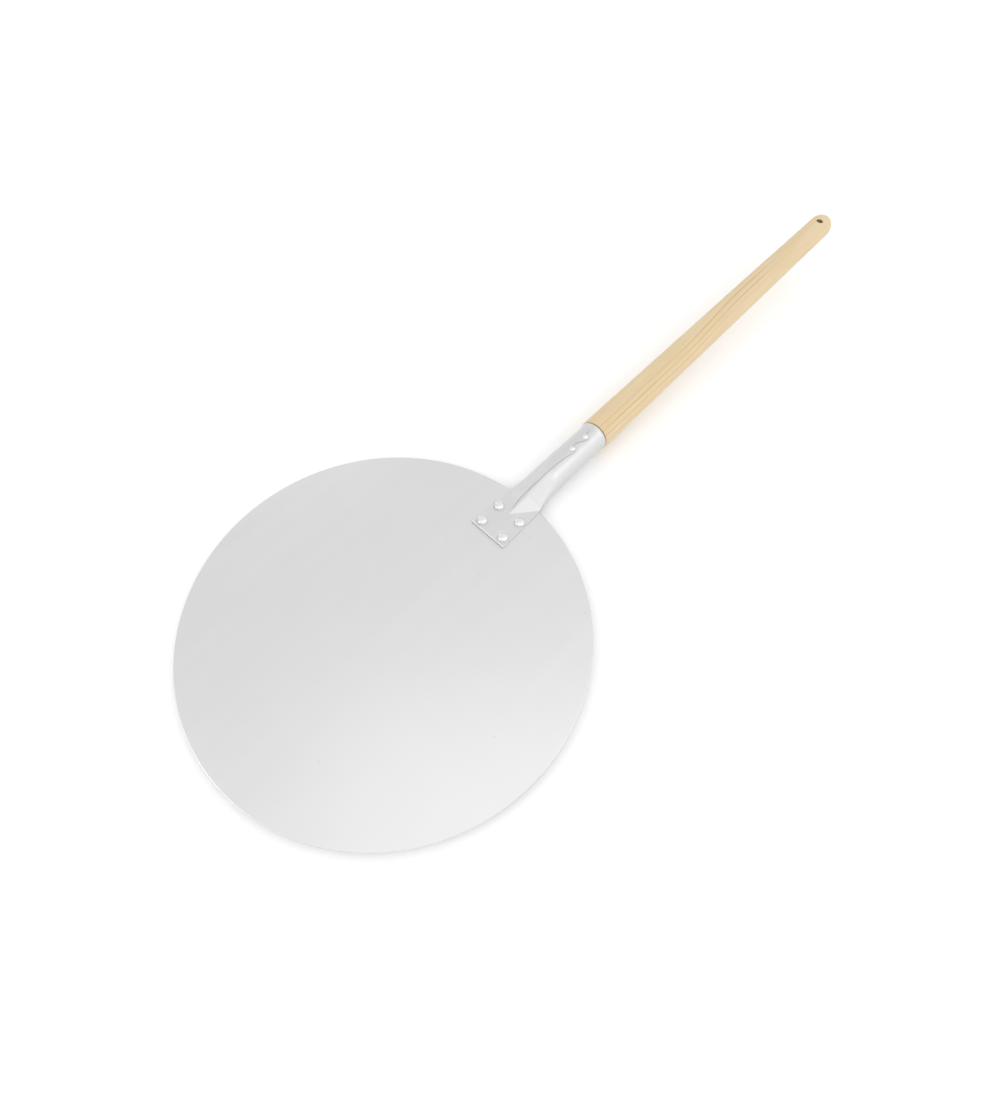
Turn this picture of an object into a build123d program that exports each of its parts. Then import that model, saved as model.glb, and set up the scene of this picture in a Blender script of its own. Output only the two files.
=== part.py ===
"""Round aluminium pizza peel with a wooden handle, in millimetres.

The blade lies flat with the centre of its underside at the origin. +X runs from the blade's centre
towards the handle and +Z points up. The socket is one aluminium sheet: two flat layers riveted on top
of the blade, which open behind the blade's rim into a round tube that grips the handle's tenon.
"""

import os
from math import cos, radians, sin

from build123d import *

# Blade
blade_diameter = 304.8
blade_thickness = 1.5
blade_edge_round = 0.5

# Socket: one folded and rolled sheet, flat at the plate and round at its mouth
sheet = 1.2
plate_length = 49.6
plate_front_half_width = 18.5
plate_rear_half_width = 16.3
plate_edge_round = 0.35
transition_half_width = 15.9
rim_clearance = 0.3
handle_rise_deg = 4.3
axis_lift = 2.4
ridge_height = 7.3
tongue_length = 22.5
tongue_step = 0.3
transition_length = 27.0
socket_length = 92.0
tube_start_radius = 13.8
tube_mouth_radius = 13.2
lip_radius = 14.3
lip_length = 4.0

# Handle
grip_front_radius = 14.6
grip_end_radius = 13.2
grip_end_round = 9.6
grip_length = 443.0
shoulder_gap = 1.2
shoulder_round = 0.8
tenon_length = 60.0
tenon_clearance = 0.1
tenon_chamfer = 2.0
hang_hole_radius = 3.5
hang_hole_from_end = 22.5

# Blade rivets, through both layers of the plate and the blade
rivet_spacing_x = 20.9
rivet_spacing_y = 23.4
rivet_front_x = 109.8
rivet_shank_radius = 2.5
rivet_head_radius = 4.4
rivet_crown_radius = 2.5
rivet_head_height = 2.2
rivet_tail_radius = 3.6

# Nails, through the tube into the tenon
nail_setback = {"nail_front": 32.7, "nail_rear": 14.7}
nail_shank_radius = 1.25
nail_head_radius = 2.6
nail_head_height = 1.4
nail_length = 20.0
nail_point_length = 3.0
nail_seat = 0.3
nail_dome_radius = (nail_head_radius**2 + nail_head_height**2) / (2 * nail_head_height)

# Places worked out from the sizes above
blade_radius = blade_diameter / 2
plate_half_height = sheet
plate_middle_z = blade_thickness + plate_half_height
plate_top_z = blade_thickness + 2 * plate_half_height
rim_x = blade_radius + rim_clearance
rise = radians(handle_rise_deg)
along = Vector(cos(rise), 0, sin(rise))
outward = Vector(-sin(rise), 0, cos(rise))
axis_start = Vector(rim_x, 0, plate_middle_z + axis_lift)
handle_axis = Axis(axis_start, along)


def point_on_axis(distance):
    """Point on the handle's axis, at a distance behind the blade's rim."""
    return axis_start + along * distance


def lengthwise_plane():
    """Upright plane through the handle's axis: local x runs along the axis and local y is the radius."""
    return Plane(origin=axis_start, x_dir=along, z_dir=(0, -1, 0))


def cross_plane(distance, share):
    """Plane across the socket, turned from the plate's direction (share 0) to the handle's (share 1)."""
    origin = point_on_axis(distance) - Vector(0, 0, axis_lift) * (1 - share)
    facing = (cos(rise * share), 0, sin(rise * share))
    return Plane(origin=origin, x_dir=(0, 1, 0), z_dir=facing)


def tube_radius(distance):
    """Outer radius of the plain tube, which narrows evenly towards its mouth."""
    share = (distance - transition_length) / (socket_length - transition_length)
    return tube_start_radius + share * (tube_mouth_radius - tube_start_radius)


def egg_face(plane, half_width, top, bottom):
    """Face made of two half ellipses of one width, one reaching top above the centre, one bottom below."""
    with BuildLine(plane) as outline:
        EllipticalCenterArc((0, 0), half_width, top, arc_size=180)
        EllipticalCenterArc((0, 0), half_width, bottom, start_angle=180, arc_size=180)
    return Face(outline.wire())


def tongue_face(wall):
    """Section of the tongue at the rim, set inwards by a wall: an arch over a flat chord."""
    half_width = transition_half_width - tongue_step - wall
    top = ridge_height - tongue_step - wall
    with BuildLine(cross_plane(0, 0)) as outline:
        arch = EllipticalCenterArc((0, 0), half_width, top, arc_size=180)
        Line(arch @ 1, arch @ 0)
    return Face(outline.wire())


def transition_faces(wall):
    """Sections that turn the flattened end into the round tube, set inwards by a wall."""
    steps = 4
    radius = tube_start_radius - wall
    flat_half_width = transition_half_width - wall
    flat_top = ridge_height - wall
    flat_bottom = plate_half_height + tongue_step - wall
    faces = []
    for step in range(steps):
        share = step / (steps - 1)
        eased = sin(radians(90) * share)
        half_width = flat_half_width + eased * (radius - flat_half_width)
        top = flat_top + eased * (radius - flat_top)
        bottom = flat_bottom + share * (radius - flat_bottom)
        plane = cross_plane(share * transition_length, share)
        faces.append(egg_face(plane, half_width, top, bottom))
    return faces


def tube_faces(wall):
    """Sections of the round tube and its flared lip, set inwards by a wall."""
    stations = (
        (transition_length, tube_start_radius - wall),
        (socket_length - lip_length, tube_mouth_radius - wall),
        (socket_length, lip_radius - wall),
    )
    faces = []
    for distance, radius in stations:
        faces.append(egg_face(cross_plane(distance, 1), radius, radius, radius))
    return faces


os.makedirs("parts", exist_ok=True)

# Rivets: a flat-topped domed head, a shank, and a tail set flush with the blade's underside
rivet_rows = {"front": rivet_front_x, "rear": rivet_front_x + rivet_spacing_x}
rivet_columns = {"left": rivet_spacing_y / 2, "right": -rivet_spacing_y / 2}
rivets = []
for row, x in rivet_rows.items():
    for column, y in rivet_columns.items():
        with BuildPart() as rivet:
            with BuildSketch(Plane(origin=(x, y, 0), x_dir=(1, 0, 0), z_dir=(0, -1, 0))):
                with BuildLine():
                    Polyline(
                        (0, 0),
                        (rivet_tail_radius, 0),
                        (rivet_shank_radius, rivet_tail_radius - rivet_shank_radius),
                        (rivet_shank_radius, plate_top_z),
                        (rivet_head_radius, plate_top_z),
                    )
                    RadiusArc(
                        (rivet_head_radius, plate_top_z),
                        (rivet_crown_radius, plate_top_z + rivet_head_height),
                        -rivet_head_radius,
                    )
                    Polyline(
                        (rivet_crown_radius, plate_top_z + rivet_head_height),
                        (0, plate_top_z + rivet_head_height),
                        (0, 0),
                    )
                make_face()
            revolve(axis=Axis((x, y, 0), (0, 0, 1)))
        rivet.part.label = f"rivet_{row}_{column}"
        rivets.append(rivet.part)

# Nails: a domed head seated a little way into the tube, and a pointed shank across the tenon
nails = []
for name, setback in nail_setback.items():
    distance = socket_length - setback
    seat = tube_radius(distance) - nail_seat
    with BuildPart() as nail:
        with BuildSketch(Plane(origin=point_on_axis(distance), x_dir=along, z_dir=(0, -1, 0))):
            with BuildLine():
                Polyline(
                    (0, seat - nail_length),
                    (nail_shank_radius, seat - nail_length + nail_point_length),
                    (nail_shank_radius, seat),
                    (nail_head_radius, seat),
                )
                RadiusArc((nail_head_radius, seat), (0, seat + nail_head_height), -nail_dome_radius)
                Line((0, seat + nail_head_height), (0, seat - nail_length))
            make_face()
        revolve(axis=Axis(point_on_axis(distance), outward))
    nail.part.label = name
    nails.append(nail.part)

# Blade: a flat disc with softened rims and countersunk rivet holes
with BuildPart() as blade:
    Cylinder(blade_radius, blade_thickness, align=(Align.CENTER, Align.CENTER, Align.MIN))
    fillet(blade.edges(), blade_edge_round)
    for rivet in rivets:
        add(rivet, mode=Mode.SUBTRACT)
blade.part.label = "blade"

# Sections of the socket's skin and hollow, made outside the socket's own block
skin_sections = transition_faces(0)
tube_sections = tube_faces(0)
hollow_sections = transition_faces(sheet)
bore_sections = tube_faces(sheet)
tongue_tip = Vertex(rim_x - tongue_length, 0, plate_top_z)
tongue_hollow_tip = Vertex(rim_x - tongue_length * 0.8, 0, plate_middle_z)

# Socket: the riveted plate, the tongue that swells from it, the flattened transition and the tube
with BuildPart() as socket:
    for x, half_width in ((rim_x - plate_length, plate_front_half_width), (rim_x, plate_rear_half_width)):
        with BuildSketch(Plane(origin=(x, 0, plate_middle_z), x_dir=(0, 1, 0), z_dir=(1, 0, 0))):
            RectangleRounded(2 * half_width, 2 * plate_half_height, plate_edge_round)
    loft(ruled=True)
    loft([tongue_tip, tongue_face(0)])
    loft(skin_sections)
    loft(tube_sections, ruled=True)
    loft([tongue_hollow_tip, tongue_face(sheet)], mode=Mode.SUBTRACT)
    loft(hollow_sections, mode=Mode.SUBTRACT)
    loft(bore_sections, ruled=True, mode=Mode.SUBTRACT)
    for nail in nails:
        add(nail, mode=Mode.SUBTRACT)
    for rivet in rivets:
        add(rivet, mode=Mode.SUBTRACT)
socket.part.label = "socket"

# Handle: a tapered round grip with a rounded-over end, a shoulder and a tenon
tenon_radius = tube_mouth_radius - sheet - tenon_clearance
tenon_end = socket_length - tenon_length
shoulder = socket_length + shoulder_gap
tip = socket_length + grip_length
with BuildPart() as handle:
    with BuildSketch(lengthwise_plane()):
        with BuildLine():
            Polyline(
                (tip, 0),
                (tenon_end, 0),
                (tenon_end, tenon_radius - tenon_chamfer),
                (tenon_end + tenon_chamfer, tenon_radius),
                (shoulder, tenon_radius),
                (shoulder, grip_front_radius),
                (tip - grip_end_round, grip_end_radius),
            )
            CenterArc((tip - grip_end_round, grip_end_radius - grip_end_round), grip_end_round, 0, 90)
            Line((tip, grip_end_radius - grip_end_round), (tip, 0))
        make_face()
    revolve(axis=handle_axis)
    shoulder_edge = handle.edges().filter_by(GeomType.CIRCLE).sort_by(SortBy.RADIUS)[-1]
    fillet(shoulder_edge, shoulder_round)
    with BuildSketch(Plane(origin=point_on_axis(tip - hang_hole_from_end), x_dir=along, z_dir=outward)):
        Circle(hang_hole_radius)
    extrude(amount=grip_front_radius, both=True, mode=Mode.SUBTRACT)
    for nail in nails:
        add(nail, mode=Mode.SUBTRACT)
handle.part.label = "handle"

for piece in [blade.part, socket.part, handle.part, *rivets, *nails]:
    export_step(piece, f"parts/{piece.label}.step")
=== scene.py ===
import math

import bpy
import numpy as np
from mathutils import Matrix, Vector, noise


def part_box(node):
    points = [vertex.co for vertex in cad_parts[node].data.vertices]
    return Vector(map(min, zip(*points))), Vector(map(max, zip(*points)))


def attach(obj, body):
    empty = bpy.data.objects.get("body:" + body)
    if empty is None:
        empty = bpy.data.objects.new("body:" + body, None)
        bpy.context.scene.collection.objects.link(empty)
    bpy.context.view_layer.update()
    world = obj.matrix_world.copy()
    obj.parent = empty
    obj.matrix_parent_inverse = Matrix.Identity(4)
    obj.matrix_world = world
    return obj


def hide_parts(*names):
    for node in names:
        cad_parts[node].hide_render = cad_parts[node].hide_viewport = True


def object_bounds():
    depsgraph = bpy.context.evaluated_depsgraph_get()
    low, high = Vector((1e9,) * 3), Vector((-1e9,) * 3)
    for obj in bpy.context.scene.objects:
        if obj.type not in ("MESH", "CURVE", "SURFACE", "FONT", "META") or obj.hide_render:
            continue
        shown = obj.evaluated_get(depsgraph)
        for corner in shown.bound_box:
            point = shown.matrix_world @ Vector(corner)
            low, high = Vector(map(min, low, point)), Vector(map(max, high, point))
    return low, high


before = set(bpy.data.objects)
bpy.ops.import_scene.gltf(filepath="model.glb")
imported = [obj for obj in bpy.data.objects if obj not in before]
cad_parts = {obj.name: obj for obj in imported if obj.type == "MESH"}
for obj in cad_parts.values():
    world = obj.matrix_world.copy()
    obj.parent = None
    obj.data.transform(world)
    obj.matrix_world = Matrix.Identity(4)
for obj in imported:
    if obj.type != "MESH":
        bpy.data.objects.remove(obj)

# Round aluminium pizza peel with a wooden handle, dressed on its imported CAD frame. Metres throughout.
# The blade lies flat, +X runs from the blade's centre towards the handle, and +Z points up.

MM = 0.001
cad_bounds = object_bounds()

# Sizes shared with the CAD model
SHEET = 1.2 * MM
RIM_CLEARANCE = 0.3 * MM
HANDLE_RISE = math.radians(4.3)
AXIS_LIFT = 2.4 * MM
PLATE_EDGE_ROUND = 0.35 * MM
TONGUE_LENGTH = 22.5 * MM
TRANSITION_LENGTH = 27.0 * MM
SOCKET_LENGTH = 92.0 * MM
TUBE_START_RADIUS = 13.8 * MM
TUBE_MOUTH_RADIUS = 13.2 * MM
LIP_FLARE = 1.1 * MM
LIP_LENGTH = 4.0 * MM
GRIP_END_ROUND = 9.6 * MM
SHOULDER_GAP = 1.2 * MM
SHOULDER_ROUND = 0.8 * MM
TENON_LENGTH = 60.0 * MM
TENON_RADIUS = 11.9 * MM
TENON_CHAMFER = 2.0 * MM
HANG_HOLE_RADIUS = 3.5 * MM
HANG_HOLE_FROM_END = 22.5 * MM
RIVET_SHANK_RADIUS = 2.5 * MM
RIVET_HEAD_RADIUS = 4.4 * MM
RIVET_TAIL_RADIUS = 3.6 * MM
NAIL_HEAD_RADIUS = 2.6 * MM
NAIL_HEAD_HEIGHT = 1.4 * MM
NAIL_SHANK_RADIUS = 1.25 * MM
NAIL_LENGTH = 20.0 * MM
NAIL_POINT_LENGTH = 3.0 * MM
NAIL_SEAT = 0.3 * MM

# Sizes a little under the CAD model's: the plate's rear, and the grip, which stays inside the CAD box
PLATE_REAR_HALF_WIDTH = 16.1 * MM
GRIP_FRONT_RADIUS = 14.57 * MM
GRIP_END_RADIUS = 13.17 * MM

# Finer shapes that the CAD model doesn't have
CORNER_SETBACK = 1.3 * MM
HANG_HOLE_ROUND = 0.2 * MM
RIVET_SEAT = 0.5 * MM
RIVET_RIM = 0.2 * MM
RIVET_TAIL_RIM = 0.1 * MM
RIVET_DOME_POWER = 0.87
NAIL_RIM = 0.1 * MM

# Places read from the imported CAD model
blade_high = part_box("blade")[1]
socket_low, socket_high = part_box("socket")
handle_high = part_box("handle")[1]
plate_front_x = socket_low.x
plate_front_half_width = socket_high.y
plate_middle_z = blade_high.z + SHEET
plate_top_z = blade_high.z + 2 * SHEET
rim_x = blade_high.x + RIM_CLEARANCE
plate_length = rim_x - plate_front_x
along = Vector((math.cos(HANDLE_RISE), 0, math.sin(HANDLE_RISE)))
outward = Vector((-math.sin(HANDLE_RISE), 0, math.cos(HANDLE_RISE)))
axis_start = Vector((rim_x, 0, plate_middle_z + AXIS_LIFT))
end_reach = GRIP_END_ROUND + (GRIP_END_RADIUS - GRIP_END_ROUND) * along.z
tip = (handle_high.x - end_reach - axis_start.x) / along.x + GRIP_END_ROUND

# Seam of the socket: how far it strays to +Y (second value) at a distance behind the rim (first value)
SEAM_ROUTE = (
    (-22.5 * MM, 0.1 * MM),
    (-14.0 * MM, 1.6 * MM),
    (-4.5 * MM, 2.4 * MM),
    (8.0 * MM, 1.4 * MM),
    (21.0 * MM, 0.0 * MM),
    (45.0 * MM, -1.6 * MM),
    (58.5 * MM, -3.2 * MM),
    (62.5 * MM, 1.5 * MM),
    (76.5 * MM, -3.2 * MM),
    (80.5 * MM, 1.2 * MM),
    (92.0 * MM, 0.4 * MM),
)

# How the socket's sheet is lapped and edged
LAP_STEP = 0.18 * MM
LAP_SPREAD = 6.0 * MM
PLATE_LAP_Y = 10.4 * MM
PLATE_LAP_STEP = 0.3 * MM
PLATE_LAP_SOFTNESS = 0.2 * MM
SLIT_HEIGHT = 0.12 * MM
SLIT_DEPTH = 0.5 * MM
FRONT_ROUND = 0.85 * MM
MOUTH_ROUND = 0.12 * MM
HOLLOW_END = 6.0 * MM

# The gap along the seam, how far its sides lean in, as a share of its width, and the share of its
# strength that it loses before the lip
SEAM_GAP = 0.2 * MM
SEAM_DEPTH = 0.35 * MM
CLOSED_SEAM_GAP = 0.1 * MM
SEAM_LEAN = 0.2
SEAM_FADE = 0.9

# Dents in the socket: around the rivets, around the nails, and all over from the forming
RIVET_DIMPLE_DEPTH = 0.3 * MM
RIVET_DIMPLE_SPREAD = 1.5 * MM
NAIL_DIMPLE_DEPTH = 0.55 * MM
NAIL_DIMPLE_SPREAD = 3.4 * MM
FORMING_DEPTH = 0.1 * MM
FORMING_FINENESS = (90, 140, 140)

# How much sooner the socket opens and its ridge rises than an even taper would, and its sharpest corner
EARLY_OPENING = 0.2
SMALLEST_ROUND = 0.02 * MM

# Where the smoothing of the outer sheet fades in and out again, and how often it is repeated
SMOOTHING_START = (6.0 * MM, 18.0 * MM)
SMOOTHING_END = (40.0 * MM, 52.0 * MM)
SMOOTHING_PASSES = 60

# The socket's mesh: points on each side of a section, the step between sections outside, how many there
# are inside, and how much closer together the points stand where a section turns, per radian
SIDE_POINTS = 150
SECTION_STEP = 0.5 * MM
INNER_SECTIONS = 60
TURN_WEIGHT = 2.0 * MM

# Edges sharper than these are shaded as edges, on turned pieces and on the socket
SHARP_ANGLE = math.radians(40)
SOCKET_SHARP_ANGLE = math.radians(35)

# Annual rings of the wood: their centre from the start of the handle's axis, and their run along it
RING_CENTRE = Vector((0, -60.0 * MM, -20.0 * MM))
RING_SPACING = 4.86 * MM
RING_STRETCH = 50
RING_SWAY = 5.5 * MM
RING_SWAY_START = 215.0 * MM
RING_SWAY_END = 345.0 * MM
RING_FADE_START = 370.0 * MM
RING_FADE_END = 430.0 * MM
RING_PHASE = 1.03

# How plainly the ring lines show (second value) at a distance to +Y of the rings' centre (first value)
RING_BAND = ((46.0 * MM, 0.1), (48.5 * MM, 1.0), (58.5 * MM, 1.0), (60.5 * MM, 0.1))

# Softboxes face a place on +X, this share of the way to the blade's rim
SOFTBOX_AIM = 0.6

# Softboxes: azimuth and height in degrees, distance and size in metres, and power in watts
SOFTBOXES = {
    "overhead_softbox": (-138, 80, 1.4, 0.9, 0.65),
    "left_softbox": (160, 28, 1.3, 0.5, 2.0),
    "right_softbox": (-54, 48, 1.3, 0.6, 0.9),
    "back_softbox": (75, 26, 1.3, 0.8, 0.5),
}

# Surroundings: their strength towards -Y and towards +Y
SURROUNDINGS = (1.26, 0.88)

# Floor: half its width, and its gap under the peel
FLOOR_HALF_WIDTH = 6.0
FLOOR_GAP = 0.2 * MM

# Camera: place in metres, and its heading, pitch and roll in degrees
CAMERA_PLACE = (-0.06617, -0.12924, 0.35760)
CAMERA_HEADING = -54.201
CAMERA_PITCH = 28.360
CAMERA_ROLL = 8.479
CAMERA_LENS = 16.356
CAMERA_SHIFT = (0.0088, 0.0068)


def smooth_step(low, high, value):
    """0 below low, 1 above high and an even curve between them."""
    share = min(1.0, max(0.0, (value - low) / (high - low)))
    return share * share * (3 - 2 * share)


def mesh_object(name, points, faces, material, sharp_angle=SHARP_ANGLE):
    """New smooth-shaded mesh object that rides on the peel."""
    mesh = bpy.data.meshes.new(name)
    mesh.from_pydata([tuple(point) for point in points], [], faces)
    mesh.validate()
    mesh.shade_smooth()
    mesh.set_sharp_from_angle(angle=sharp_angle)
    mesh.materials.append(material)
    piece = bpy.data.objects.new(name, mesh)
    bpy.context.scene.collection.objects.link(piece)
    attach(piece, "root")
    return piece


# ---------------------------------------------------------------- materials


def add_node(material, kind, settings=None, **inputs):
    """New shader node. Settings are its properties and inputs its sockets: a value, or a socket to link."""
    shader_node = material.node_tree.nodes.new(kind)
    for name, value in (settings or {}).items():
        setattr(shader_node, name, value)
    for name, value in inputs.items():
        socket = shader_node.inputs[name.replace("_", " ")]
        if isinstance(value, bpy.types.NodeSocket):
            material.node_tree.links.new(value, socket)
        else:
            socket.default_value = value
    return shader_node


def add_ramp(material, factor, stops):
    """Colour ramp over a factor, from (position, grey or colour) stops."""
    ramp = add_node(material, "ShaderNodeValToRGB", Fac=factor)
    elements = ramp.color_ramp.elements
    while len(elements) < len(stops):
        elements.new(0.5)
    for element, (position, colour) in zip(elements, stops):
        element.position = position
        rgb = colour if isinstance(colour, tuple) else (colour, colour, colour)
        element.color = (*rgb, 1.0)
    return ramp.outputs["Color"]


def stretched_coordinates(material, stretch, origin=(0, 0, 0), turn=0.0):
    """Object coordinates from an origin, turned about Y, that draw a pattern out lengthwise by a stretch."""
    coordinates = add_node(material, "ShaderNodeTexCoord")
    placed = add_node(
        material,
        "ShaderNodeMapping",
        {"vector_type": "TEXTURE"},
        Vector=coordinates.outputs["Object"],
        Location=origin,
        Rotation=(0, turn, 0),
        Scale=(stretch, 1, 1),
    )
    return placed.outputs["Vector"]


def mix_colours(material, mode, factor, first, second):
    """Two colours blended in a mode, such as MULTIPLY."""
    mixer = material.node_tree.nodes.new("ShaderNodeMix")
    mixer.data_type = "RGBA"
    mixer.blend_type = mode
    for index, value in ((0, factor), (6, first), (7, second)):
        if isinstance(value, bpy.types.NodeSocket):
            material.node_tree.links.new(value, mixer.inputs[index])
        else:
            mixer.inputs[index].default_value = value
    return mixer.outputs[2]


def new_material(name):
    """Empty node material and its main shader."""
    material = bpy.data.materials.new(name)
    material.use_nodes = True
    return material, material.node_tree.nodes["Principled BSDF"]


def add_metal_bumps(material, streaks, clouds, dents):
    """Normals of a metal with fine bumps along its streaks and soft dents under its clouds."""
    fine = add_node(
        material, "ShaderNodeBump", Height=streaks.outputs["Fac"], Strength=0.25, Distance=0.00002
    )
    soft = add_node(
        material,
        "ShaderNodeBump",
        Height=clouds.outputs["Fac"],
        Strength=dents,
        Distance=0.0006,
        Normal=fine.outputs["Normal"],
    )
    return soft.outputs["Normal"]


def aluminium(name, tone, roughness, stretch, dents, specks):
    """Mill-finished aluminium: rolling streaks, faint clouds, soft dents and a few dark specks."""
    material, shader = new_material(name)
    links = material.node_tree.links
    grain = stretched_coordinates(material, stretch)
    streaks = add_node(material, "ShaderNodeTexNoise", Vector=grain, Scale=60.0, Detail=6.0, Roughness=0.6)
    even = stretched_coordinates(material, 1)
    clouds = add_node(material, "ShaderNodeTexNoise", Vector=even, Scale=24.0, Detail=3.0, Roughness=0.5)
    spots = add_node(material, "ShaderNodeTexVoronoi", Vector=even, Scale=specks)
    streak_tone = add_ramp(material, streaks.outputs["Fac"], ((0.3, 0.985), (0.7, 1.0)))
    cloud_tone = add_ramp(material, clouds.outputs["Fac"], ((0.3, 0.988), (0.7, 1.0)))
    spot_tone = add_ramp(material, spots.outputs["Distance"], ((0.015, 0.82), (0.035, 1.0)))
    colour = mix_colours(material, "MULTIPLY", 1.0, streak_tone, cloud_tone)
    colour = mix_colours(material, "MULTIPLY", 1.0, colour, spot_tone)
    colour = mix_colours(material, "MULTIPLY", 1.0, colour, (tone, tone, tone, 1.0))
    links.new(colour, shader.inputs["Base Color"])
    gloss = add_node(
        material,
        "ShaderNodeMapRange",
        Value=streaks.outputs["Fac"],
        From_Min=0.25,
        From_Max=0.75,
        To_Min=roughness - 0.04,
        To_Max=roughness + 0.05,
    )
    links.new(gloss.outputs["Result"], shader.inputs["Roughness"])
    links.new(add_metal_bumps(material, streaks, clouds, dents), shader.inputs["Normal"])
    shader.inputs["Metallic"].default_value = 1.0
    return material


def ring_places(material):
    """Place along the handle, over the stretch, and coordinates from the rings' centre that sway to +Y."""
    ring_origin = axis_start + RING_CENTRE
    places = stretched_coordinates(material, RING_STRETCH, ring_origin, -HANDLE_RISE)
    split = add_node(material, "ShaderNodeSeparateXYZ", Vector=places)
    sway = add_node(
        material,
        "ShaderNodeMapRange",
        {"interpolation_type": "SMOOTHSTEP"},
        Value=split.outputs["X"],
        From_Min=RING_SWAY_START / RING_STRETCH,
        From_Max=RING_SWAY_END / RING_STRETCH,
        To_Max=RING_SWAY,
    )
    shift = add_node(material, "ShaderNodeCombineXYZ", Y=sway.outputs["Result"])
    swayed = add_node(material, "ShaderNodeVectorMath", {"operation": "SUBTRACT"})
    material.node_tree.links.new(places, swayed.inputs[0])
    material.node_tree.links.new(shift.outputs["Vector"], swayed.inputs[1])
    return split.outputs["X"], swayed.outputs["Vector"]


def ring_plainness(material, lengthwise, swayed):
    """How plainly the ring lines show: only in a band beside the rings' centre, and less near the tip."""
    across = add_node(material, "ShaderNodeSeparateXYZ", Vector=swayed)
    beside = add_ramp(material, across.outputs["Y"], RING_BAND)
    towards_tip = add_node(
        material,
        "ShaderNodeMapRange",
        Value=lengthwise,
        From_Min=RING_FADE_START / RING_STRETCH,
        From_Max=RING_FADE_END / RING_STRETCH,
        To_Min=1.0,
        To_Max=0.1,
    )
    plainness = add_node(material, "ShaderNodeMath", {"operation": "MULTIPLY"})
    material.node_tree.links.new(beside, plainness.inputs[0])
    material.node_tree.links.new(towards_tip.outputs["Result"], plainness.inputs[1])
    return plainness.outputs["Value"]


def annual_rings(material):
    """Late-wood lines of rings centred outside the handle, and how plainly they show."""
    lengthwise, swayed = ring_places(material)
    # A ring wave of scale 1 repeats every pi / 10 metres
    rings = add_node(
        material,
        "ShaderNodeTexWave",
        {"wave_type": "RINGS", "rings_direction": "X", "wave_profile": "SAW"},
        Vector=swayed,
        Scale=math.pi / 10 / RING_SPACING,
        Distortion=0.5,
        Detail=2.0,
        Detail_Scale=1.0,
        Detail_Roughness=0.5,
        Phase_Offset=RING_PHASE,
    )
    return rings.outputs["Fac"], ring_plainness(material, lengthwise, swayed)


def wood_tones(material, rings, fibres, patches):
    """Colours of the late-wood lines, of the fibres and of the warm patches."""
    early_wood = (1.0, 1.0, 1.0)
    line_edge = (0.95, 0.92, 0.87)
    late_wood = (0.65, 0.52, 0.35)
    dull_fibre = (0.94, 0.92, 0.89)
    warm_patch = (0.665, 0.523, 0.322)
    pale_patch = (0.71, 0.572, 0.37)
    line_stops = ((0.0, early_wood), (0.80, line_edge), (0.90, late_wood), (1.0, line_edge))
    line_tone = add_ramp(material, rings, line_stops)
    fibre_tone = add_ramp(material, fibres, ((0.3, dull_fibre), (0.7, early_wood)))
    patch_tone = add_ramp(material, patches, ((0.3, warm_patch), (0.7, pale_patch)))
    return line_tone, fibre_tone, patch_tone


def pale_wood(name):
    """Fine-sanded pale wood: thin late-wood lines along the handle, fibres, pores and warm patches."""
    material, shader = new_material(name)
    links = material.node_tree.links
    rings, plainness = annual_rings(material)
    fibres_at, patches_at, pores_at = (
        stretched_coordinates(material, stretch, axis_start, -HANDLE_RISE) for stretch in (35, 7, 12)
    )
    fibres = add_node(
        material, "ShaderNodeTexNoise", Vector=fibres_at, Scale=1500.0, Detail=4.0, Roughness=0.6
    ).outputs["Fac"]
    patches = add_node(
        material, "ShaderNodeTexNoise", Vector=patches_at, Scale=90.0, Detail=3.0, Roughness=0.5
    ).outputs["Fac"]
    pores = add_node(material, "ShaderNodeTexVoronoi", Vector=pores_at, Scale=650.0)
    broken = add_ramp(material, patches, ((0.36, 0.45), (0.56, 1.0)))
    line_strength = mix_colours(material, "MULTIPLY", 1.0, broken, plainness)
    line_tone, fibre_tone, patch_tone = wood_tones(material, rings, fibres, patches)
    pore_tone = add_ramp(material, pores.outputs["Distance"], ((0.06, 0.93), (0.14, 1.0)))
    lines = mix_colours(material, "MIX", line_strength, (1.0, 1.0, 1.0, 1.0), line_tone)
    colour = mix_colours(material, "MULTIPLY", 1.0, patch_tone, lines)
    colour = mix_colours(material, "MULTIPLY", 1.0, colour, fibre_tone)
    colour = mix_colours(material, "MULTIPLY", 1.0, colour, pore_tone)
    links.new(colour, shader.inputs["Base Color"])
    gloss = add_ramp(material, fibres, ((0.3, 0.62), (0.7, 0.52)))
    links.new(gloss, shader.inputs["Roughness"])
    bump = add_node(material, "ShaderNodeBump", Height=fibres, Strength=0.3, Distance=0.00006)
    links.new(bump.outputs["Normal"], shader.inputs["Normal"])
    shader.inputs["Specular IOR Level"].default_value = 0.35
    return material


def shaded_bore_wood(name):
    """Dark brown wood for the hang hole's wall, marked across the grain by the drill: its end grain, darkened
    further to paint the shade inside the hole.
    """
    material, shader = new_material(name)
    around = stretched_coordinates(material, 4, axis_start, math.pi / 2 - HANDLE_RISE)
    marks = add_node(material, "ShaderNodeTexNoise", Vector=around, Scale=1200.0, Detail=3.0, Roughness=0.6)
    tone = add_ramp(material, marks.outputs["Fac"], ((0.3, (0.26, 0.15, 0.06)), (0.7, (0.38, 0.24, 0.11))))
    material.node_tree.links.new(tone, shader.inputs["Base Color"])
    bump = add_node(material, "ShaderNodeBump", Height=marks.outputs["Fac"], Strength=0.5, Distance=0.0001)
    material.node_tree.links.new(bump.outputs["Normal"], shader.inputs["Normal"])
    shader.inputs["Roughness"].default_value = 0.8
    return material


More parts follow.
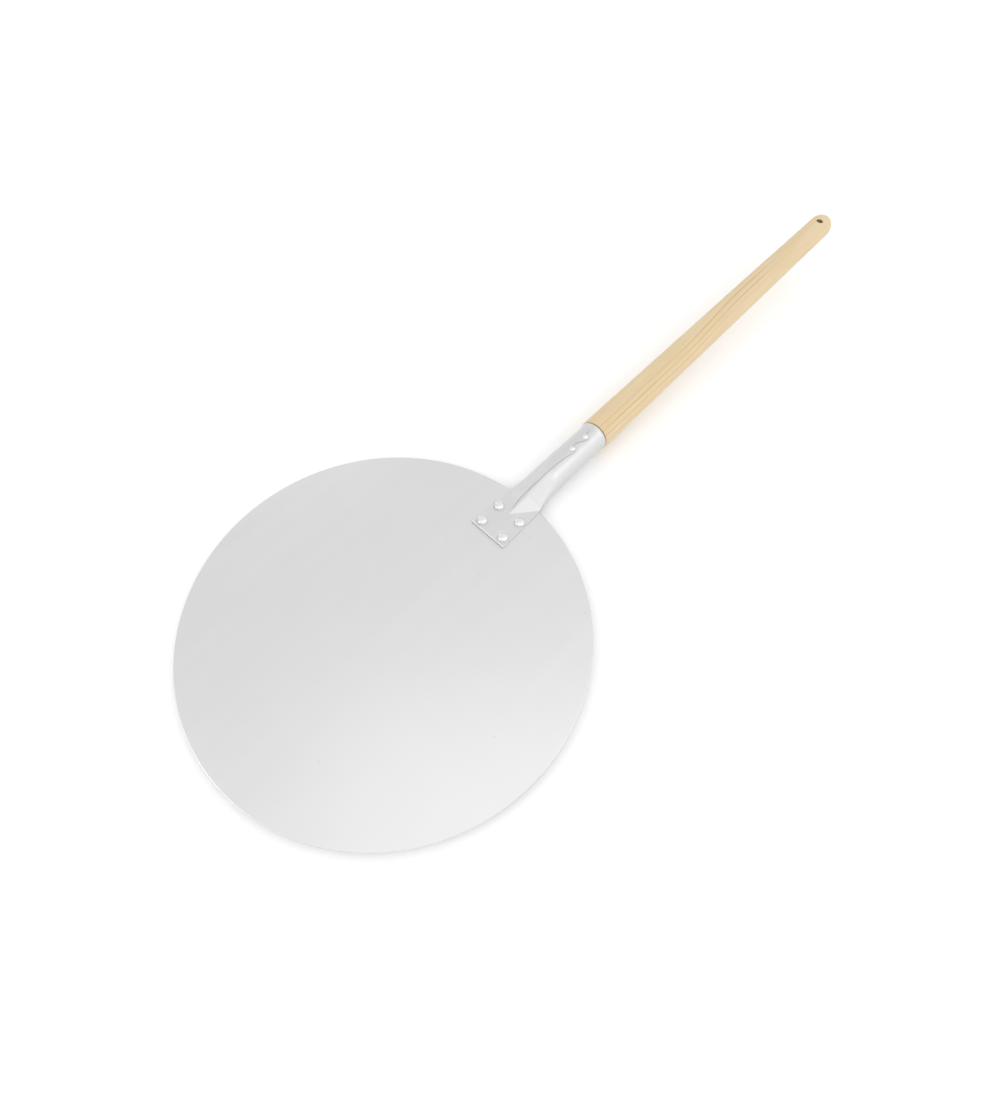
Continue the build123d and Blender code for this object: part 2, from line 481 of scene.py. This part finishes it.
def paper_floor(name):
    """Plain pale studio paper with a faint tooth."""
    material, shader = new_material(name)
    even = stretched_coordinates(material, 1)
    tooth = add_node(material, "ShaderNodeTexNoise", Vector=even, Scale=900.0, Detail=2.0, Roughness=0.5)
    tone = add_ramp(material, tooth.outputs["Fac"], ((0.3, 0.94), (0.7, 0.96)))
    material.node_tree.links.new(tone, shader.inputs["Base Color"])
    shader.inputs["Roughness"].default_value = 0.9
    shader.inputs["Specular IOR Level"].default_value = 0.1
    return material


# ---------------------------------------------------------------- lathe-turned pieces


def lathe(profile, origin, axis, across, segments):
    """Points and faces of (radius, height) pairs turned about an axis. Zero radii close the ends."""
    side = axis.cross(across)
    points = []
    rings = []
    for radius, height in profile:
        centre = origin + axis * height
        if radius == 0:
            rings.append([len(points)])
            points.append(centre)
            continue
        rings.append(list(range(len(points), len(points) + segments)))
        for step in range(segments):
            angle = 2 * math.pi * step / segments
            points.append(centre + (across * math.cos(angle) + side * math.sin(angle)) * radius)
    faces = []
    for low, high in zip(rings, rings[1:]):
        for step in range(segments):
            after = (step + 1) % segments
            loop = ((low, step), (low, after), (high, after), (high, step))
            corners = [ring[turn % len(ring)] for ring, turn in loop]
            faces.append(tuple(dict.fromkeys(corners)))
    return points, faces


def arc_points(centre_radius, centre_height, size, start_deg, end_deg, steps):
    """Profile points on an arc, with angles measured from the radius direction."""
    points = []
    for step in range(steps + 1):
        angle = math.radians(start_deg + (end_deg - start_deg) * step / steps)
        points.append((centre_radius + size * math.cos(angle), centre_height + size * math.sin(angle)))
    return points


def build_rivet(name, material):
    """Rivet with a flush tail, a shank and a domed head. Gives the centre of its tail."""
    low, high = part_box(name)
    base = plate_top_z - low.z
    seat = base - RIVET_SEAT
    profile = [
        (0, 0),
        (RIVET_TAIL_RADIUS - RIVET_TAIL_RIM, 0),
        (RIVET_TAIL_RADIUS, RIVET_TAIL_RIM),
        (RIVET_SHANK_RADIUS, RIVET_TAIL_RADIUS - RIVET_SHANK_RADIUS),
        (RIVET_SHANK_RADIUS, seat),
        (RIVET_HEAD_RADIUS - RIVET_RIM, seat),
        (RIVET_HEAD_RADIUS, seat + RIVET_RIM),
    ]
    steps = 24
    for step in range(steps):
        angle = math.pi / 2 * step / steps
        radius = RIVET_HEAD_RADIUS * math.cos(angle) ** RIVET_DOME_POWER
        profile.append((radius, base + (high.z - plate_top_z) * math.sin(angle) ** RIVET_DOME_POWER))
    profile.append((0, high.z - low.z))
    origin = Vector(((low.x + high.x) / 2, (low.y + high.y) / 2, low.z))
    points, faces = lathe(profile, origin, Vector((0, 0, 1)), Vector((1, 0, 0)), segments=64)
    piece = mesh_object(f"formed_{name}", points, faces, material)
    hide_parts(name)
    return origin


def nail_distance(name):
    """Distance of a nail behind the blade's rim, along the handle's axis."""
    low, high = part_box(name)
    head_x = low.x + NAIL_HEAD_RADIUS * math.cos(HANDLE_RISE)
    return (head_x - axis_start.x + TUBE_MOUTH_RADIUS * math.sin(HANDLE_RISE)) / along.x


def build_nail(name, material):
    """Nail with a domed head and a pointed shank, driven across the tenon."""
    distance = nail_distance(name)
    seat = tube_radius(distance) - NAIL_SEAT
    dome_radius = (NAIL_HEAD_RADIUS**2 + NAIL_HEAD_HEIGHT**2) / (2 * NAIL_HEAD_HEIGHT)
    edge = math.degrees(math.acos(NAIL_HEAD_RADIUS / dome_radius))
    profile = [
        (0, seat - NAIL_LENGTH),
        (NAIL_SHANK_RADIUS, seat - NAIL_LENGTH + NAIL_POINT_LENGTH),
        (NAIL_SHANK_RADIUS, seat),
        (NAIL_HEAD_RADIUS - NAIL_RIM, seat),
    ]
    dome = arc_points(0, seat + NAIL_HEAD_HEIGHT - dome_radius, dome_radius, edge, 90, 12)
    profile += dome[:-1] + [(0, seat + NAIL_HEAD_HEIGHT)]
    place = axis_start + along * distance
    points, faces = lathe(profile, place, outward, Vector((0, 1, 0)), segments=48)
    piece = mesh_object(f"driven_{name}", points, faces, material)
    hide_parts(name)


def build_handle(material, shaded_bore_material):
    """Turned wooden handle: tenon, shoulder, tapered grip, rounded-over end and a hang hole."""
    shoulder = SOCKET_LENGTH + SHOULDER_GAP
    tenon_end = SOCKET_LENGTH - TENON_LENGTH
    grip_start = shoulder + SHOULDER_ROUND
    end_start = tip - GRIP_END_ROUND
    profile = [
        (0, tenon_end),
        (TENON_RADIUS - TENON_CHAMFER, tenon_end),
        (TENON_RADIUS, tenon_end + TENON_CHAMFER),
        (TENON_RADIUS, shoulder),
    ]
    profile += arc_points(GRIP_FRONT_RADIUS - SHOULDER_ROUND, grip_start, SHOULDER_ROUND, -90, 0, 6)
    rows = 160
    for row in range(1, rows):
        share = row / rows
        radius = GRIP_FRONT_RADIUS + share * (GRIP_END_RADIUS - GRIP_FRONT_RADIUS)
        profile.append((radius, grip_start + share * (end_start - grip_start)))
    profile += arc_points(GRIP_END_RADIUS - GRIP_END_ROUND, end_start, GRIP_END_ROUND, 0, 90, 24)
    profile.append((0, tip))
    points, faces = lathe(profile, axis_start, along, Vector((0, 1, 0)), segments=128)
    piece = mesh_object("turned_handle", points, faces, material)
    cut_hang_hole(piece, shaded_bore_material)
    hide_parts("handle")


def cut_hang_hole(piece, shaded_bore_material):
    """Bores the hang hole across the grip, with its edges eased and its wall in a darker wood that is end
    grain and also paints the shade inside the hole.
    """
    reach = GRIP_FRONT_RADIUS * 1.2
    top_half = [(0, reach), (HANG_HOLE_RADIUS + 3 * HANG_HOLE_ROUND, reach)]
    top_half += [
        (HANG_HOLE_RADIUS + HANG_HOLE_ROUND - radius, GRIP_END_RADIUS - HANG_HOLE_ROUND + height)
        for radius, height in reversed(arc_points(0, 0, HANG_HOLE_ROUND, 0, 90, 5))
    ]
    bottom_half = [(radius, -height) for radius, height in top_half]
    centre = axis_start + along * (tip - HANG_HOLE_FROM_END)
    profile = bottom_half + top_half[::-1]
    points, faces = lathe(profile, centre, outward, Vector((0, 1, 0)), segments=64)
    mesh = bpy.data.meshes.new("hang_hole_cutter")
    mesh.from_pydata([tuple(point) for point in points], [], faces)
    cutter = bpy.data.objects.new("hang_hole_cutter", mesh)
    bpy.context.scene.collection.objects.link(cutter)
    bore = piece.modifiers.new("hang_hole", "BOOLEAN")
    bore.operation = "DIFFERENCE"
    bore.solver = "EXACT"
    bore.object = cutter
    graph = bpy.context.evaluated_depsgraph_get()
    bored = bpy.data.meshes.new_from_object(piece.evaluated_get(graph))
    piece.modifiers.remove(bore)
    bpy.data.objects.remove(cutter)
    piece.data = bored
    # The hole's wall takes the dark wood: its end grain, with painted shade for the hollow inside the hole
    bored.materials.append(shaded_bore_material)
    for face in bored.polygons:
        offset = face.center - centre
        if (offset - outward * offset.dot(outward)).length < HANG_HOLE_RADIUS + HANG_HOLE_ROUND / 2:
            face.material_index = 1
    bored.shade_smooth()
    bored.set_sharp_from_angle(angle=SHARP_ANGLE)


# ---------------------------------------------------------------- socket sheet


def tube_radius(distance):
    """Outer radius of the socket's tube, which narrows evenly and flares at its lip."""
    share = (distance - TRANSITION_LENGTH) / (SOCKET_LENGTH - TRANSITION_LENGTH)
    radius = TUBE_START_RADIUS + share * (TUBE_MOUTH_RADIUS - TUBE_START_RADIUS)
    into_lip = max(0.0, (distance - SOCKET_LENGTH + LIP_LENGTH) / LIP_LENGTH)
    return radius + LIP_FLARE * into_lip**2


def section_frame(distance):
    """Origin and upward direction of the socket's cross-section at a distance behind the rim."""
    share = min(1.0, max(0.0, distance / TRANSITION_LENGTH))
    origin = axis_start + along * distance - Vector((0, 0, AXIS_LIFT * (1 - share)))
    if distance < 0:
        origin = Vector((rim_x + distance, 0, plate_middle_z))
    upward = Vector((-math.sin(HANDLE_RISE * share), 0, math.cos(HANDLE_RISE * share)))
    return origin, upward


def seam_offset(distance):
    """How far the seam strays to +Y, on a smooth curve through the seam's route."""
    places = [place for place, stray in SEAM_ROUTE]
    strays = [stray for place, stray in SEAM_ROUTE]
    if distance <= places[0]:
        return strays[0]
    index = max(i for i, place in enumerate(places[:-1]) if place <= distance)
    slopes = []
    for end in (index, index + 1):
        before, after = max(end - 1, 0), min(end + 1, len(places) - 1)
        slopes.append((strays[after] - strays[before]) / (places[after] - places[before]))
    span = places[index + 1] - places[index]
    share = min(1.0, (distance - places[index]) / span)
    return (
        strays[index] * (1 + 2 * share) * (1 - share) ** 2
        + slopes[0] * span * share * (1 - share) ** 2
        + strays[index + 1] * share**2 * (3 - 2 * share)
        + slopes[1] * span * share**2 * (share - 1)
    )


def support_discs(distance, wall):
    """Discs (y, z, radius, upper half only) whose hull is the socket's section at a distance, less a wall."""
    front_share = min(1.0, (distance + plate_length) / plate_length)
    narrowing = plate_front_half_width - PLATE_REAR_HALF_WIDTH
    half_width = plate_front_half_width - front_share * narrowing
    opening = (distance + CORNER_SETBACK) / (TRANSITION_LENGTH + CORNER_SETBACK)
    opening = min(1.0, max(0.0, opening))
    inward = opening + EARLY_OPENING * opening * (1 - opening)
    tube = tube_radius(max(distance, TRANSITION_LENGTH))
    corner = PLATE_EDGE_ROUND + opening * (tube - PLATE_EDGE_ROUND) - wall
    size = max(corner, SMALLEST_ROUND)
    lift = SHEET + opening * (tube - SHEET) - wall - size
    side = (half_width - PLATE_EDGE_ROUND) * (1 - inward) + corner - size
    discs = [(way * side, height, size, False) for height in (lift, -lift) for way in (1, -1)]
    rise = (distance + TONGUE_LENGTH) / (TRANSITION_LENGTH + TONGUE_LENGTH)
    rise = min(1.0, max(0.0, rise))
    rise += EARLY_OPENING * rise * (1 - rise)
    ridge = rise * TUBE_START_RADIUS - wall
    if 0 < rise < 1 and ridge > 0:
        discs.append((0.0, SHEET * (1 - rise), ridge, True))
    return discs


def hull_outline(discs, steps=720):
    """Points around the hull of discs, from the bottom up the +Y side, over the top and down again."""
    outline = []
    for step in range(steps):
        angle = -math.pi + 2 * math.pi * (step + 0.5) / steps
        sideways, upwards = -math.sin(angle), math.cos(angle)
        able = [disc for disc in discs if upwards > 0 or not disc[3]]
        if not able:
            continue
        y, z, size = max(able, key=lambda disc: disc[0] * sideways + disc[1] * upwards + disc[2])[:3]
        outline.append((y + size * sideways, z + size * upwards))
    return outline


def section_outline(distance, wall):
    """Outline of the socket at a distance, less a wall, from the bottom's middle round by +Y and -Y."""
    discs = support_discs(distance, wall)
    if distance >= -CORNER_SETBACK:
        outline = hull_outline(discs)
        lowest = -SHEET + wall if distance < 0 else -math.inf
        return [(y, max(z, lowest)) for y, z in outline]
    flat = hull_outline(discs[:4])
    if len(discs) == 4:
        return flat
    reach = (distance + TONGUE_LENGTH) / (TONGUE_LENGTH - CORNER_SETBACK)
    leg = reach * abs(discs[0][0])
    feet = [(leg, SHEET - wall, 0.0, True), (-leg, SHEET - wall, 0.0, True)]
    tongue = [point for point in hull_outline(discs[4:] + feet) if point[1] > SHEET - wall]
    left = [point for point in flat if point[0] > leg or (point[1] < 0 and point[0] >= 0)]
    right = [point for point in flat if point[0] < -leg or (point[1] < 0 and point[0] < 0)]
    return left + [(leg, SHEET - wall)] + tongue + [(-leg, SHEET - wall)] + right


def resample(points, count):
    """Points evenly spaced along a polyline, and closer together where it turns."""
    line = np.array(points)
    ahead = np.diff(line, axis=0)
    steps = np.hypot(*ahead.T)
    heading = np.unwrap(np.arctan2(ahead[:, 1], ahead[:, 0]))
    steps[1:] += TURN_WEIGHT * np.minimum(np.abs(np.diff(heading)), 1.0)
    travel = np.concatenate([[0.0], np.cumsum(steps)])
    wanted = np.linspace(0.0, travel[-1], count)
    return np.column_stack([np.interp(wanted, travel, line[:, 0]), np.interp(wanted, travel, line[:, 1])])


def section_ring(distance, wall):
    """Ring of points at a distance: from the seam by +Y to the bottom, then by -Y back to the seam."""
    outline = section_outline(distance, wall)
    stray = seam_offset(distance)
    top = min(
        (index for index in range(len(outline)) if outline[index][1] > 0),
        key=lambda index: abs(outline[index][0] - stray),
    )
    before, after = outline[: top + 1], outline[top:]
    before[-1] = after[0] = (stray, outline[top][1])
    bottom = (0.0, outline[0][1])
    left = resample(before[::-1] + [bottom], SIDE_POINTS)
    right = resample([bottom] + after[::-1], SIDE_POINTS)
    return np.vstack([left, right[1:]])


def seam_strength(distance):
    """How plainly the seam shows: not at all on the plate, fully along the tube and less at the mouth."""
    opening = smooth_step(-TONGUE_LENGTH, -TONGUE_LENGTH * 0.5, distance)
    mouth = smooth_step(SOCKET_LENGTH - 3 * LIP_LENGTH, SOCKET_LENGTH - LIP_LENGTH, distance)
    return opening * (1 - SEAM_FADE * mouth)


def lap_offsets(distance, ring):
    """How far each point of a ring stands proud of the plain tube because one edge laps over the other."""
    steps = np.hypot(*np.diff(ring, axis=0).T)
    travel = np.concatenate([[0.0], np.cumsum(steps)])
    proud = np.exp(-travel / LAP_SPREAD) - np.exp(-(travel[-1] - travel) / LAP_SPREAD)
    return seam_strength(distance) * LAP_STEP * proud


def with_seam_gap(places, inwards, strength):
    """A ring's places with its two ends drawn apart, and the floor of the gap between them added."""
    across = (places[1] - places[0]).normalized()
    width = CLOSED_SEAM_GAP + SEAM_GAP * strength
    places[0] = places[0] + across * width / 2
    places[-1] = places[-1] - across * width / 2
    lean = across * width * SEAM_LEAN
    drop = inwards * SEAM_DEPTH * strength
    return places + [places[-1] + lean + drop, places[0] - lean + drop]


def dent_offset(point, distance, rivets, nails):
    """How far the sheet is pressed in at a point by the rivets, the nails and the forming."""
    depth = 0.0
    if point.z > plate_middle_z:
        for rivet in rivets:
            gap = math.hypot(point.x - rivet.x, point.y - rivet.y) - RIVET_HEAD_RADIUS
            depth += RIVET_DIMPLE_DEPTH * math.exp(-((gap / RIVET_DIMPLE_SPREAD) ** 2))
    if point.z > axis_start.z:
        for nail in nails:
            gap = math.hypot(distance - nail, point.y)
            depth += NAIL_DIMPLE_DEPTH * math.exp(-((gap / NAIL_DIMPLE_SPREAD) ** 2))
    if distance < 0 and point.z > plate_middle_z:
        fade = 1 - smooth_step(-TONGUE_LENGTH, -TONGUE_LENGTH / 2, distance)
        step = smooth_step(PLATE_LAP_Y - PLATE_LAP_SOFTNESS, PLATE_LAP_Y + PLATE_LAP_SOFTNESS, point.y)
        depth += fade * PLATE_LAP_STEP * step
    fineness = zip(point, FORMING_FINENESS)
    forming = noise.noise(Vector([value * scale for value, scale in fineness]))
    return depth + FORMING_DEPTH * forming


def socket_stations():
    """Places and inward offsets of the socket's rings: slit, front edge, outside, lip and inside."""
    slit = SHEET - SLIT_HEIGHT / 2
    front = -plate_length
    outer_count = round((plate_length + SOCKET_LENGTH - 2 * MOUTH_ROUND) / SECTION_STEP)
    outer = np.linspace(front + FRONT_ROUND, SOCKET_LENGTH - MOUTH_ROUND, outer_count)
    inner = np.linspace(SOCKET_LENGTH - MOUTH_ROUND, HOLLOW_END, INNER_SECTIONS)
    stations = [(front + SLIT_DEPTH, slit), (front, slit)]
    for turned in range(0, 90, 20):
        angle = math.radians(turned)
        stations.append((front + FRONT_ROUND * (1 - math.cos(angle)), FRONT_ROUND * (1 - math.sin(angle))))
    stations += [(distance, 0.0) for distance in outer]
    stations += [(SOCKET_LENGTH, MOUTH_ROUND), (SOCKET_LENGTH, SHEET - MOUTH_ROUND)]
    stations += [(distance, SHEET) for distance in inner]
    return stations


def outward_normals(ring):
    """Unit normals of a ring's points, in its own plane."""
    tangents = np.gradient(ring, axis=0)
    normals = np.column_stack([-tangents[:, 1], tangents[:, 0]])
    return normals / np.maximum(np.hypot(*normals.T), 1e-9)[:, None]


def build_socket(material, rivets, nails):
    """Folded and rolled sheet: riveted plate, tongue, opening transition, lapped tube and flared lip."""
    stations = socket_stations()
    rings = [section_ring(distance, wall) for distance, wall in stations]
    soften_transition(stations, rings)
    points = []
    for (distance, wall), ring in zip(stations, rings):
        origin, upward = section_frame(distance)
        outside = wall < SHEET / 2
        laps = lap_offsets(distance, ring) if outside else np.zeros(len(ring))
        places = []
        for (y, z), (normal_y, normal_z), lap in zip(ring, outward_normals(ring), laps):
            point = origin + Vector((0, y, 0)) + upward * z
            if outside:
                lap -= dent_offset(point, distance, rivets, nails)
            places.append(point + (Vector((0, normal_y, 0)) + upward * normal_z) * lap)
        points += with_seam_gap(places, -upward, seam_strength(distance) * outside)
    faces = ring_faces(len(rings), len(rings[0]) + 2)
    piece = mesh_object("rolled_socket", points, faces, material, SOCKET_SHARP_ANGLE)
    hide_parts("socket")


def soften_transition(stations, rings):
    """Smooths the outer rings along the tube, so that the transition runs into it without a kink."""
    outer = [index for index, (distance, wall) in enumerate(stations) if wall == 0]
    grid = np.array([rings[index] for index in outer])
    distances = np.array([stations[index][0] for index in outer])
    weights = [
        smooth_step(*SMOOTHING_START, distance) * (1 - smooth_step(*SMOOTHING_END, distance))
        for distance in distances
    ]
    weights = np.array(weights)[1:-1, None, None]
    for _ in range(SMOOTHING_PASSES):
        even = (grid[:-2] + 2 * grid[1:-1] + grid[2:]) / 4
        grid[1:-1] += weights * (even - grid[1:-1])
    for row, index in enumerate(outer):
        rings[index] = grid[row]


def ring_faces(ring_count, ring_size):
    """Faces of a row of equal rings, closed across the seam and at both ends."""
    faces = []
    for ring in range(ring_count - 1):
        for step in range(ring_size):
            after = (step + 1) % ring_size
            low, high = ring * ring_size, (ring + 1) * ring_size
            faces.append((low + step, high + step, high + after, low + after))
    last = (ring_count - 1) * ring_size
    faces.append(tuple(range(ring_size)))
    faces.append(tuple(range(last + ring_size - 1, last - 1, -1)))
    return faces


# ---------------------------------------------------------------- studio


def build_floor():
    """Plain pale floor just under the peel."""
    half = FLOOR_HALF_WIDTH
    level = cad_bounds[0][2] - FLOOR_GAP
    mesh = bpy.data.meshes.new("studio_floor")
    corners = [(-half, -half, level), (half, -half, level), (half, half, level), (-half, half, level)]
    mesh.from_pydata(corners, [], [(0, 1, 2, 3)])
    mesh.materials.append(paper_floor("studio_paper"))
    floor = bpy.data.objects.new("studio_floor", mesh)
    bpy.context.scene.collection.objects.link(floor)


def add_softbox(name, azimuth_deg, height_deg, distance, size, power):
    """Square softbox that faces the blade, from a direction."""
    azimuth, height = math.radians(azimuth_deg), math.radians(height_deg)
    direction = Vector(
        (math.cos(height) * math.cos(azimuth), math.cos(height) * math.sin(azimuth), math.sin(height))
    )
    target = Vector((rim_x * SOFTBOX_AIM, 0, 0))
    light = bpy.data.lights.new(name, "AREA")
    light.shape = "SQUARE"
    light.size = size
    light.energy = power
    lamp = bpy.data.objects.new(name, light)
    lamp.location = target + direction * distance
    lamp.rotation_euler = direction.to_track_quat("Z", "Y").to_euler()
    bpy.context.scene.collection.objects.link(lamp)


def build_lights():
    """Surroundings that brighten towards -Y, an overhead softbox and three side softboxes."""
    world = bpy.data.worlds.new("studio")
    bpy.context.scene.world = world
    world.use_nodes = True
    nodes, links = world.node_tree.nodes, world.node_tree.links
    background = nodes["Background"]
    coordinates = nodes.new("ShaderNodeTexCoord")
    direction = nodes.new("ShaderNodeSeparateXYZ")
    sideways = nodes.new("ShaderNodeMapRange")
    links.new(coordinates.outputs["Generated"], direction.inputs["Vector"])
    links.new(direction.outputs["Y"], sideways.inputs["Value"])
    sideways.inputs["From Min"].default_value = -1.0
    sideways.inputs["To Min"].default_value, sideways.inputs["To Max"].default_value = SURROUNDINGS
    links.new(sideways.outputs["Result"], background.inputs["Strength"])
    background.inputs["Color"].default_value = (1.0, 1.0, 1.0, 1.0)
    for name, setting in SOFTBOXES.items():
        add_softbox(name, *setting)


def build_camera():
    """Camera close above the blade, looking down along the peel."""
    camera = bpy.data.cameras.new("camera")
    camera.sensor_width = 36.0
    camera.lens = CAMERA_LENS
    camera.shift_x, camera.shift_y = CAMERA_SHIFT
    camera.clip_start = 0.01
    viewer = bpy.data.objects.new("camera", camera)
    heading = Matrix.Rotation(math.radians(CAMERA_HEADING), 4, "Z")
    pitch = Matrix.Rotation(math.radians(CAMERA_PITCH), 4, "X")
    roll = Matrix.Rotation(math.radians(CAMERA_ROLL), 4, "Z")
    place = Matrix.Translation(CAMERA_PLACE)
    viewer.matrix_world = place @ heading @ pitch @ roll
    bpy.context.scene.collection.objects.link(viewer)
    bpy.context.scene.camera = viewer


bpy.context.scene.view_settings.view_transform = "Standard"
build_camera()
build_lights()
build_floor()

# Tone, roughness, lengthwise stretch of the streaks, depth of the dents and fineness of the specks
blade_metal = aluminium("blade_aluminium", 0.702, 0.34, 25, 0.0, 45.0)
socket_metal = aluminium("socket_aluminium", 0.668, 0.42, 16, 0.15, 90.0)
rivet_metal = aluminium("rivet_aluminium", 0.77, 0.24, 1, 0.1, 300.0)
nail_metal = aluminium("nail_zinc", 0.77, 0.22, 1, 0.1, 300.0)
wood = pale_wood("handle_wood")
# Dark wood for the hang hole's wall: end grain and painted shade
shaded_bore = shaded_bore_wood("shaded_bore_wood")

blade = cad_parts["blade"]
for material_slot in blade.material_slots:
    material_slot.material = blade_metal

rivet_names = [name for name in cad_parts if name.startswith("rivet")]
nail_names = [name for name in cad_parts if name.startswith("nail")]
rivet_places = [build_rivet(name, rivet_metal) for name in rivet_names]
nail_places = [nail_distance(name) for name in nail_names]
for name in nail_names:
    build_nail(name, nail_metal)
build_socket(socket_metal, rivet_places, nail_places)
build_handle(wood, shaded_bore)
